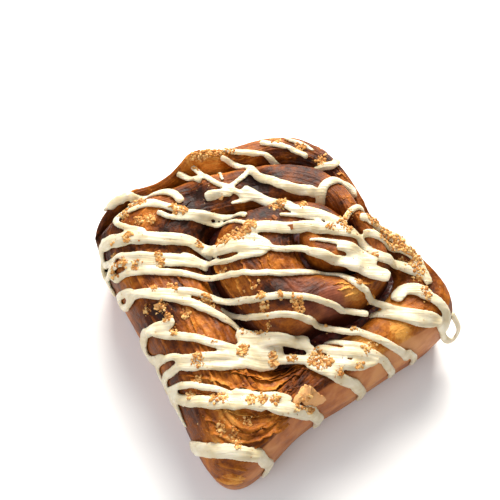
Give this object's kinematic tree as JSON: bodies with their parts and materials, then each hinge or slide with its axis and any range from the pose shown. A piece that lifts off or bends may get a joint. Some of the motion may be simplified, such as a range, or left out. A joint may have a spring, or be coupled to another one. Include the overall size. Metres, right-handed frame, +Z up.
{
  "type": "cinnamon roll",
  "caption": "Square laminated cinnamon roll: dough wound in a spiral round a sheet of cinnamon filling, domed in the middle, iced in zigzags with biscuit crumbs.",
  "frame": {"origin": "middle of the box that just holds the roll, at its flat base", "axes": "+Z up out of the iced top, +X and +Y along the square's sides; the dough's tail is at the corner towards -X and +Y"},
  "size_m": [0.0998, 0.1058, 0.0457],
  "materials": {
    "baked_dough": "golden-brown baked laminated dough with a soft sheen",
    "cinnamon_filling": "dark sticky cinnamon sugar, wet in places"
  },
  "bodies": {
    "root": {"dough_coil": "baked_dough", "cinnamon_filling": "cinnamon_filling"}
  },
  "joints": []
}
